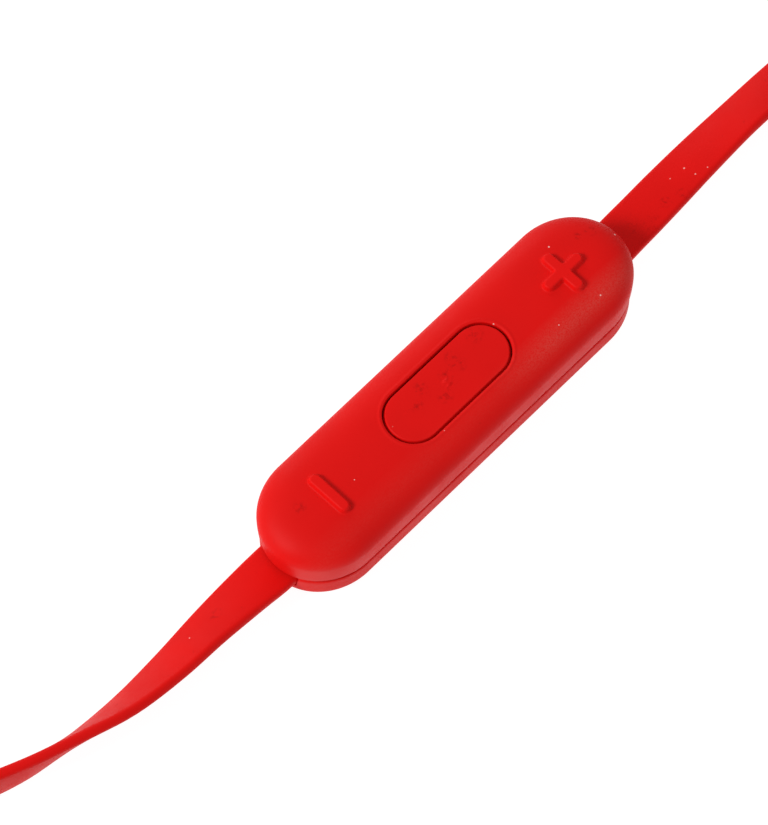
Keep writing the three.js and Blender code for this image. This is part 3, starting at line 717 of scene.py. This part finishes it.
def cover_grid(sizes):
    """The cover as one closed skin: window wall, lip, domed top, side wall, rim, inside, ceiling.

    The lip has a bead b exp(-((d - d0) / w)^2), where d is the distance from the window.
    """
    wall = COVER["wall"]

    def outline(inset):
        return capsule_loop(COVER["length"] - inset, COVER["width"] - inset, COVER["end"] - inset, 104, 150)

    def window_loop(distance):
        width = WINDOW["width"] + distance
        return capsule_loop(WINDOW["length"] + distance, width, width, 104, 150)

    outer, inner, widest, window = outline(0.0), outline(wall), outline(-COVER["bulge"]), window_loop(0.0)
    rows = []
    turn = np.linspace(0, math.pi / 2, 7)
    for angle in turn:
        spot = window_loop(LIP["round"] * (1 - math.cos(angle)))
        drop = LIP["round"] * (1 - math.sin(angle))
        rows.append(raised(spot, crown_height(*spot.T) - drop))
    for distance in np.linspace(LIP["round"] + 0.04, LIP["even"], 18):
        spot = window_loop(distance)
        bead = sizes.lip_bead * math.exp(-((distance - LIP["bead_at"]) / LIP["bead_width"]) ** 2)
        rows.append(raised(spot, crown_height(*spot.T) + bead))
    share = np.concatenate([
        np.linspace(0.0, 0.28, 7)[1:], np.linspace(0.28, 0.78, 100)[1:],
        0.78 + 0.22 * np.sin(np.linspace(0, math.pi / 2, 30))[1:],
    ])
    start = window_loop(LIP["even"])
    for part in share:
        spot = start + (widest - start) * part
        rows.append(raised(spot, crown_height(*spot.T) + symbol_relief(*spot.T, sizes.symbol_height)))
    base, soft = COVER["rim"], COVER["soft"]
    for part in np.linspace(0, 1, 11)[1:]:
        level = COVER["shoulder"] + (base + soft - COVER["shoulder"]) * part
        rows.append(raised(widest + (outer - widest) * part ** 2, level))
    inward = (inner - outer) / np.linalg.norm(inner - outer, axis=1)[:, None]
    for angle in turn[1:]:
        spot = outer + inward * soft * (1 - math.cos(angle))
        rows.append(raised(spot, base + soft * (1 - math.sin(angle))))
    rows.append(raised(inner, base))
    rows += [raised(inner, level) for level in (base + 0.05, 5.0, COVER["ceiling"] - 0.05, COVER["ceiling"])]
    rows += [raised(inner + (window - inner) * part, COVER["ceiling"]) for part in (0.3, 0.6, 0.97, 1.0)]
    rows += [raised(window, level) for level in (COVER["ceiling"] + 0.05, 7.0, 7.3)]
    return np.stack(rows)


def bowl_grid(outline, low, high, corner, wall, floor, soft, hole, slots):
    """A shell: outer face, rounded corner, wall, rim, inner wall and inner face, from eye to eye.

    `outline` maps an inset to a loop. `hole` is the x and radius of the eye in both faces. The rim
    moves to the edge of each slot, given as its end, middle, half width and height. A shell whose
    `high` is below its `low` opens downwards.
    """
    way = 1 if high > low else -1
    outer, inner = outline(0.0), outline(wall)
    rim = np.full(len(outer), float(high))
    for end, middle, half_width, edge in slots:
        inside = 1 - smoothstep(half_width - 0.08, half_width + 0.08, np.abs(outer[:, 1] - middle))
        rim += (edge - high) * inside * (np.sign(outer[:, 0]) == end)
    bearing = np.arctan2(outer[:, 1], outer[:, 0] - hole[0])
    eye = np.stack([hole[0] + hole[1] * np.cos(bearing), hole[1] * np.sin(bearing)], axis=-1)
    flat = outline(corner)
    rows = [raised(eye, low)]
    rows += [raised(eye + (flat - eye) * part, low) for part in (0.1, 0.4, 0.8, 0.97)]
    for turn in np.linspace(0, math.pi / 2, 12):
        rows.append(raised(outline(corner * (1 - math.sin(turn))), low + way * corner * (1 - math.cos(turn))))
    first = low + way * corner
    for part in np.linspace(0, 1, 7)[1:]:
        rows.append(raised(outer, first + (rim - way * soft - first) * part))
    for turn in np.linspace(0, math.pi / 2, 4)[1:]:
        rows.append(raised(outline(soft * (1 - math.cos(turn))), rim - way * soft * (1 - math.sin(turn))))
    rows += [raised(outline(wall - soft), rim), raised(inner, rim - way * soft)]
    rows += [raised(inner, low + way * (floor + 0.05)), raised(inner, low + way * floor)]
    rows += [raised(eye + (inner - eye) * part, low + way * floor) for part in (0.95, 0.5, 0.1, 0.0)]
    return np.stack(rows)


def rear_shell_surface():
    """The inset rear shell with its two cord slots, microphone hole and pivot ears."""
    def outline(inset):
        return capsule_loop(SHELL_HIGH[0] - inset, SHELL_HIGH[1] - inset, SHELL["end"] - inset, 80, 160)

    slots = [(end, SLOT["y"], SLOT["width"], SLOT["low"]) for end in (-1, 1)]
    grid = bowl_grid(outline, SHELL_LOW[2], SHELL["top"], SHELL["corner"], SHELL["wall"], SHELL["floor"],
                     SHELL["soft"], MICROPHONE, slots)
    surface = Surface().add(grid, wrap_rows=True)
    near, far = PIVOT["ear"]
    for side in (-1, 1):
        surface.add(pivot_plate(side * near, side * far, SHELL["floor"] - 0.1, PIVOT["ear_top"]),
                    wrap_rows=True)
    return surface


def pivot_plate(near, far, low, high):
    """One of the plates that the pivot pins pass through."""
    return eyed_plate(near, far, PIVOT["half"], low, high, PIVOT["z"], PIVOT["hole"])


def button_surface():
    """The play key: a cap that follows the cover's dome, a ledge, the flange below and the actuator.

    The face lies `sunk` below the dome, rounds off over `soft` at its edge and has a low nub. The
    ledge is the bottom of the groove that is seen round the key.
    """
    width = WINDOW["width"] - WINDOW["gap"]
    cap = capsule_loop(WINDOW["length"] - WINDOW["gap"], width, width, 60, 70)
    flange = capsule_loop(BUTTON_HIGH[0], BUTTON_HIGH[1], BUTTON_HIGH[1], 60, 70)
    soft = KEY["soft"]
    rows = []
    for share in np.linspace(0.03, 1.0, 72) ** 0.7:
        spot = cap * share
        reach = np.hypot(*spot.T)
        edge = np.linalg.norm(cap, axis=1) * (1 - share)
        roll_off = soft * (1 - np.sqrt(1 - (1 - np.clip(edge / soft, 0, 1)) ** 2))
        nub = KEY["nub"] * (1 - smoothstep(0.12, 0.5, reach))
        rows.append(raised(spot, crown_height(*spot.T) - KEY["sunk"] - roll_off + nub))
    high, low = KEY["flange"], KEY["flange_low"]
    ledge_width = WINDOW["width"] - KEY["ledge_gap"]
    ledge = capsule_loop(WINDOW["length"] - KEY["ledge_gap"], ledge_width, ledge_width, 60, 70)
    rows += [raised(cap, KEY["ledge"] + 0.05), raised(cap, KEY["ledge"])]
    rows += [raised(ledge, KEY["ledge"]), raised(ledge, KEY["ledge"] - 0.05), raised(ledge, high)]
    rows += [raised(flange, high), raised(flange, low), raised(flange * 0.4, low), raised(flange * 0.1, low)]
    surface = Surface().add(np.stack(rows), fan_start=True, fan_end=True)
    stem = upright(0, 0, ACTUATOR["radius"], ACTUATOR["low"], low + 0.1)
    return surface.add(stem, fan_start=True, fan_end=True)


# ---------------------------------------------------------------- turned pieces


def ribbed(start, end):
    """A strain relief: a cone with round ribs, r = start + (end - start) s - depth (1 - |sin(pi n s)|).

    s runs from 0 to 1 along it, and both ends close on the axis.
    """
    length, ribs, depth = RELIEF["length"], RELIEF["ribs"], RELIEF["depth"]
    share = np.linspace(0, 1, ribs * 10 + 1)
    radius = start + (end - start) * share + depth * np.abs(np.sin(math.pi * ribs * share)) - depth
    middle = np.stack([share * length, radius], axis=-1)
    return np.concatenate([[(0.0, 0.3)], middle, [(length, 0.3)]])


EARBUD_PIECES = {  # start on the earbud's axis, profile of distance and radius, rounding, closed
    "rear_cap": (9.0, [(0, 0.3), (0, 2.4), (0.9, 3.7), (2.2, 4.6), (3.6, 5.0), (3.6, 4.2), (2.4, 3.7),
                       (1.2, 2.6), (1.0, 0.3)], 0.7, False),
    "housing": (12.7, [(0, 4.2), (0, 5.0), (3.4, 4.9), (5.6, 4.3), (6.4, 3.2), (6.4, 2.5), (5.6, 2.5),
                       (5.0, 3.5), (3.0, 4.2), (0, 4.2)], 0.5, True),
    "nozzle": (19.2, [(0, 1.7), (0, 3.0), (0.9, 3.0), (0.9, 2.2), (3.4, 2.2), (3.7, 2.5), (4.3, 2.5),
                      (4.3, 1.7), (0, 1.7)], 0.2, True),
    "ear_tip": (20.3, [(0, 2.75), (0, 3.4), (1.4, 3.5), (1.6, 4.4), (0.4, 5.2), (0.6, 5.6), (2.6, 5.5),
                       (5.4, 4.7), (7.4, 3.4), (7.8, 2.5), (7.4, 2.0), (5.0, 2.0), (4.4, 2.75),
                       (0, 2.75)], 0.7, True),
    "screen": (22.6, [(0, 0.2), (0, 1.6), (0.3, 1.6), (0.38, 0.9), (0.4, 0.2)], 0.2, False),
}

CONTACTS = {  # distance behind the grip and profile of each gold contact
    "plug_sleeve": (0.05, 3.8), "plug_ring_a": (4.35, 2.3), "plug_ring_b": (7.15, 2.3),
}


def tie_grid(low, high):
    """A band round one run of a hank: a rounded loop across X whose section is a soft-edged strip."""
    middle, half = (low + high) / 2, (high - low) / 2
    thick, soft = TIE["thick"], TIE["soft"]
    turn = np.linspace(0, math.pi / 2, 10)
    signs = ((1, 1, 0), (-1, 1, 1), (-1, -1, 2), (1, -1, 3))

    def loop(inset, x):
        radius = TIE["corner"] - inset
        parts = []
        for sign_y, sign_z, quarter in signs:
            angle = turn + quarter * math.pi / 2
            y = middle[1] + sign_y * (half[1] - TIE["corner"]) + radius * np.cos(angle)
            z = middle[2] + sign_z * (half[2] - TIE["corner"]) + radius * np.sin(angle)
            parts.append(np.stack([np.full(len(angle), x), y, z], axis=-1))
        return np.concatenate(parts)

    corner = (1 - math.sqrt(0.5)) * soft
    left, right = low[0], high[0]
    section = [
        (0, left + soft), (corner, left + corner), (soft, left), (thick - soft, left),
        (thick - corner, left + corner), (thick, left + soft), (thick, right - soft),
        (thick - corner, right - corner), (thick - soft, right), (soft, right),
        (corner, right - corner), (0, right - soft),
    ]
    return np.stack([loop(inset, x) for inset, x in section])


# ---------------------------------------------------------------- operators


FLOOR = {"reach": 3.0, "drop": 0.05 * MM}  # metres; it lies just under the undersides, clear of them
LIGHTS = (  # name, place in metres, side in metres, watts
    ("key_softbox", (-0.75, 0.35, 0.75), 0.35, 8.0),
    ("edge_softbox", (0.3, 0.95, 0.4), 0.5, 1.7),
)


class MakeStage(bpy.types.Operator):
    """Make the floor, the soft lights, the camera and the air"""

    bl_idname = "earphones.make_stage"
    bl_label = "Stage"

    def execute(self, context):
        """Places a lit acrylic floor, the soft boxes, a pale world and the camera."""
        reach = FLOOR["reach"]
        mesh = bpy.data.meshes.new("floor")
        corners = [(x * reach, y * reach, -FLOOR["drop"]) for x, y in ((-1, -1), (1, -1), (1, 1), (-1, 1))]
        mesh.from_pydata(corners, [], [(0, 1, 2, 3)])
        mesh.materials.append(opal_acrylic(tuple(context.scene.earphone_colours.floor)))
        floor = bpy.data.objects.new("floor", mesh)
        context.scene.collection.objects.link(floor)
        for name, place, size, power in LIGHTS:
            light = bpy.data.lights.new(name, "AREA")
            light.shape, light.size, light.energy = "SQUARE", size, power
            lamp = bpy.data.objects.new(name, light)
            lamp.location = place
            lamp.rotation_euler = Vector(place).to_track_quat("Z", "Y").to_euler()
            context.scene.collection.objects.link(lamp)
        world = bpy.data.worlds.new("studio_air")
        world.use_nodes = True
        background = world.node_tree.nodes["Background"]
        background.inputs["Color"].default_value = (1.0, 1.0, 1.0, 1.0)
        background.inputs["Strength"].default_value = 0.5
        context.scene.world = world
        context.scene.view_settings.view_transform = "Standard"
        self.make_camera(context)
        return {"FINISHED"}

    @staticmethod
    def make_camera(context):
        """A long lens that looks down on the remote, which lies from lower left to upper right."""
        turn, lift = math.radians(CAMERA["azimuth"]), math.radians(CAMERA["elevation"])
        level = math.cos(lift)
        back = Vector((math.sin(turn) * level, -math.cos(turn) * level, math.sin(lift)))
        right = Vector((math.cos(turn), math.sin(turn), 0.0))
        target = Vector((0, 0, CAMERA["height"])) + CAMERA["right"] * right + CAMERA["up"] * back.cross(right)
        camera = bpy.data.cameras.new("camera")
        camera.lens, camera.sensor_width = CAMERA["lens"], CAMERA["sensor"]
        camera.clip_start, camera.clip_end = 0.01, 20.0
        eye = bpy.data.objects.new("camera", camera)
        eye.location = (target + back * CAMERA["distance"]) * MM
        eye.rotation_euler = back.to_track_quat("Z", "Y").to_euler()
        context.scene.collection.objects.link(eye)
        context.scene.camera = eye


class FinishInside(bpy.types.Operator):
    """Give the parts inside the housings their finishes"""

    bl_idname = "earphones.finish_inside"
    bl_label = "Inner parts"

    def execute(self, context):
        """Gives each CAD node the finish of its record slot; the fine pieces later hide most of them."""
        for entry in frame["record"]["subparts"]:
            node = frame["nodes"][entry["node"]]
            node.data.materials.clear()
            node.data.materials.append(MATERIALS[entry["material_slot"]])
        return {"FINISHED"}


def make_ribbon(name, path, size, replaced):
    surface = Surface().add(ribbon_grid(path, size), fan_start=True, fan_end=True)
    piece = finish_piece(surface, name, "ribbon_elastomer", "earphones", *replaced)
    length = np.linalg.norm(np.diff(path[:, :3], axis=0), axis=1).sum()


class MakeMainRibbon(bpy.types.Operator):
    """Make the ribbon from the remote to the plug, with its hank, and the one to the splitter"""

    bl_idname = "earphones.make_main_ribbon"
    bl_label = "Main ribbon"

    def execute(self, context):
        step = context.scene.earphone_sizes.ribbon_step
        coils = wound(HANK["near"], HANK["far"], HANK["radius"], HANK["pitch"], 8, 48.0)
        hank = [(x, y, HANK["z"], 90) for x, y in coils]
        lower = even_curve(LOWER_ROUTE + hank + LOWER_END_ROUTE, step)
        upper = even_curve(UPPER_ROUTE, step * 0.5)
        make_ribbon("main_ribbon", lower, RIBBON, ("lower_cord", "lower_hank", "lower_cord_end"))
        make_ribbon("splitter_ribbon", upper, RIBBON, ("upper_cord",))
        return {"FINISHED"}


class MakeBranches(bpy.types.Operator):
    """Make the two narrow ribbons from the splitter to the earbuds, with their hank"""

    bl_idname = "earphones.make_branches"
    bl_label = "Branches"

    def execute(self, context):
        """Builds the left branch on the outside of the pair and the right one on the inside."""
        step = context.scene.earphone_sizes.ribbon_step
        for name, side, halves, sweep, lead in (
            ("left", 1, 4, 90.0, LEFT_LEAD_ROUTE), ("right", -1, 3, 90.0, RIGHT_LEAD_ROUTE),
        ):
            coils = wound(BRANCH_HANK["near"], BRANCH_HANK["far"], BRANCH_HANK["radius"],
                          BRANCH_HANK["pitch"], halves, 46.0, sweep)
            hank = [(x, y, BRANCH_HANK["z"], 90, PAIR_OFFSET) for x, y in coils]
            middle = even_curve(BRANCH_ROUTE + hank + lead, step)
            path = beside(middle, side * middle[:, 4])[:, :4]
            replaced = (f"{name}_branch", "branch_hank", f"{name}_lead")
            make_ribbon(f"{name}_branch_ribbon", path, BRANCH, replaced)
        return {"FINISHED"}


class MakeRemote(bpy.types.Operator):
    """Make the cover, play key and rear shell of the remote"""

    bl_idname = "earphones.make_remote"
    bl_label = "Remote"

    def execute(self, context):
        """Builds the three outer pieces of the remote."""
        cover = Surface().add(cover_grid(context.scene.earphone_sizes), wrap_rows=True)
        for end in (-1, 1):
            stem = upright(end * ACTUATOR["x"], 0, ACTUATOR["radius"], ACTUATOR["low"],
                           COVER["ceiling"] + 0.05)
            cover.add(stem, fan_start=True, fan_end=True)
        near, far = PIVOT["lug"]
        for side in (-1, 1):
            lug = pivot_plate(side * near, side * far, COVER["rim"] + 0.1, COVER["ceiling"] + 0.05)
            cover.add(lug, wrap_rows=True)
        finish_piece(cover, "rocker_cover", "soft_touch_red", "rocker", "front_cover")
        finish_piece(button_surface(), "play_key_cap", "soft_touch_red", "play_key", "centre_button")
        finish_piece(rear_shell_surface(), "rear_casing", "soft_touch_red", "earphones", "rear_shell")
        return {"FINISHED"}


class MakeSplitter(bpy.types.Operator):
    """Make the two halves of the splitter's housing"""

    bl_idname = "earphones.make_splitter"
    bl_label = "Splitter"

    def execute(self, context):
        """Builds a lower half that opens upwards and an upper half that opens downwards."""
        half = (SPLIT_HIGH - SPLIT_LOW) / 2
        centre = (SPLIT_HIGH + SPLIT_LOW) / 2

        def outline(inset):
            return capsule_loop(half[0] - inset, half[1] - inset, SPLITTER["end"] - inset, 30, 50)

        for name, low, way in (("bottom", SPLIT_LOW[2], 1), ("top", SPLIT_HIGH[2], -1)):
            seam = centre[2] - way * 0.03
            edge = centre[2] - way * (centre[2] - SPLITTER["slot"])
            slots = [(-1, 0.0, SLOT["width"], edge), (1, 0.0, SPLITTER["branch_slot"], edge)]
            grid = bowl_grid(outline, low, seam, SPLITTER["round"], SPLITTER["wall"], SPLITTER["wall"],
                             SPLITTER["soft"], (0.0, 0.2), slots)
            grid[..., 0] += centre[0]
            surface = Surface().add(grid, fan_start=True, fan_end=True)
            finish_piece(surface, f"splitter_{name}_half", "soft_touch_red", "earphones", f"splitter_{name}")
        return {"FINISHED"}


class MakeTies(bpy.types.Operator):
    """Make the four silicone bands that hold the hanks"""

    bl_idname = "earphones.make_ties"
    bl_label = "Ties"

    def execute(self, context):
        """Builds each band to the box of its CAD node."""
        for letter in "abcd":
            surface = Surface().add(tie_grid(*node_box(f"tie_{letter}")), wrap_rows=True)
            finish_piece(surface, f"hank_tie_{letter}", "silicone", "earphones", f"tie_{letter}")
        return {"FINISHED"}


class MakePlug(bpy.types.Operator):
    """Make the plug: its strain relief, grip, insulator and four contacts"""

    bl_idname = "earphones.make_plug"
    bl_label = "Plug"

    def execute(self, context):
        """Turns each piece about the plug's axis, which points away from the remote."""
        sides = context.scene.earphone_sizes.turned_sides
        radius = PLUG["radius"]
        grip = [(0, 0.3), (0, 2.3), (0.6, 2.7), (3.0, 2.75), (6.5, 2.55), (10.5, 2.75), (12.4, 2.75),
                (13.4, 2.5), (13.8, 2.0), (13.8, 0.3)]
        insulator = [(0, 0.3), (0, 0.9), (3.9, 0.9), (3.9, 1.65), (4.3, 1.65), (4.3, 0.9), (6.7, 0.9),
                     (6.7, 1.65), (7.1, 1.65), (7.1, 0.9), (9.5, 0.9), (9.5, 1.65), (9.9, 1.65),
                     (9.9, 0.3)]
        tip = [(0, 0.3), (0, radius), (0.5, radius), (1.3, 1.15), (2.2, radius - 0.1), (3.9, 0.5), (3.9, 0.1)]
        solid = (
            ("plug_relief", "ribbon_elastomer", PLUG["relief"], ribbed(*RELIEF["plug"])),
            ("plug_grip", "soft_touch_red", PLUG["grip"], softened(grip, 0.6, 7)),
            ("plug_insulator", "black_moulding", PLUG["contacts"], softened(insulator, 0.03, 3)),
            ("plug_tip", "gold_plate", PLUG["contacts"] - 10.0, softened(tip, 0.25, 6)),
        )
        for node, slot, start, profile in solid:
            grid = turned(profile, start, PLUG["y"], PLUG["z"], -1, sides)
            surface = Surface().add(grid, fan_start=True, fan_end=True)
            finish_piece(surface, f"{node}_fine", slot, "earphones", node)
        for node, (start, length) in CONTACTS.items():
            ring = [(0, 0.95), (0, radius), (length, radius), (length, 0.95), (0, 0.95)]
            profile = softened(ring, 0.08, 4)[:-1]
            grid = turned(profile, PLUG["contacts"] - start, PLUG["y"], PLUG["z"], -1, sides)
            surface = Surface().add(grid, wrap_rows=True)
            finish_piece(surface, f"{node}_fine", "gold_plate", "earphones", node)
        return {"FINISHED"}


class MakeEarbuds(bpy.types.Operator):
    """Make both earbuds: relief, cap, housing, nozzle, screen and ear tip"""

    bl_idname = "earphones.make_earbuds"
    bl_label = "Earbuds"

    def execute(self, context):
        """Turns each piece about its earbud's axis; the two lie head to tail."""
        sides = context.scene.earphone_sizes.turned_sides
        slots = {"ear_tip": "silicone", "screen": "steel"}
        for side, heading in (("left", 1), ("right", -1)):
            place = (heading * EARBUD["y"], EARBUD["z"], heading, sides)
            relief = Surface().add(turned(ribbed(*RELIEF["earbud"]), EARBUD[side], *place),
                                   fan_start=True, fan_end=True)
            finish_piece(relief, f"{side}_relief_fine", "soft_touch_red", "earphones", f"{side}_relief")
            for part, (start, profile, rounding, closed) in EARBUD_PIECES.items():
                smooth = softened(profile, rounding, 7)
                smooth = smooth[:-1] if closed else smooth
                grid = turned(smooth, EARBUD[side] + heading * start, *place)
                surface = Surface().add(grid, wrap_rows=closed, fan_start=not closed, fan_end=not closed)
                body = f"{side}_tip" if part == "ear_tip" else "earphones"
                slot = slots.get(part, "soft_touch_red")
                finish_piece(surface, f"{side}_{part}_fine", slot, body, f"{side}_{part}")
        return {"FINISHED"}


class EarphonePanel(bpy.types.Panel):
    """The earphones' pieces and settings in the sidebar"""

    bl_label = "Earphones"
    bl_idname = "VIEW3D_PT_earphones"
    bl_space_type = "VIEW_3D"
    bl_region_type = "UI"
    bl_category = "Earphones"

    def draw(self, context):
        """Lists the operators and the settings."""
        for operator in OPERATORS:
            self.layout.operator(operator.bl_idname)
        for group in (context.scene.earphone_sizes, context.scene.earphone_colours):
            for name in group.bl_rna.properties.keys():
                if name not in ("rna_type", "name"):
                    self.layout.prop(group, name)


OPERATORS = (
    MakeStage, FinishInside, MakePlug, MakeTies, MakeSplitter, MakeMainRibbon, MakeBranches, MakeRemote,
    MakeEarbuds,
)
CLASSES = (EarphoneSizes, EarphoneColours, *OPERATORS, EarphonePanel)


def register():
    """Registers the classes and hangs the settings on the scene."""
    for item in CLASSES:
        bpy.utils.register_class(item)
    bpy.types.Scene.earphone_sizes = bpy.props.PointerProperty(type=EarphoneSizes)
    bpy.types.Scene.earphone_colours = bpy.props.PointerProperty(type=EarphoneColours)


def unregister():
    """Takes the settings off the scene and unregisters the classes."""
    del bpy.types.Scene.earphone_colours
    del bpy.types.Scene.earphone_sizes
    for item in reversed(CLASSES):
        bpy.utils.unregister_class(item)


def main():
    """Registers the add-on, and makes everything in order."""
    register()
    scene = bpy.context.scene
    make_materials(scene.earphone_sizes, scene.earphone_colours)
    bpy.ops.earphones.make_stage()
    bpy.ops.earphones.finish_inside()
    bpy.ops.earphones.make_plug()
    bpy.ops.earphones.make_ties()
    bpy.ops.earphones.make_splitter()
    bpy.ops.earphones.make_main_ribbon()
    bpy.ops.earphones.make_branches()
    bpy.ops.earphones.make_remote()
    bpy.ops.earphones.make_earbuds()


if __name__ == "__main__":
    main()
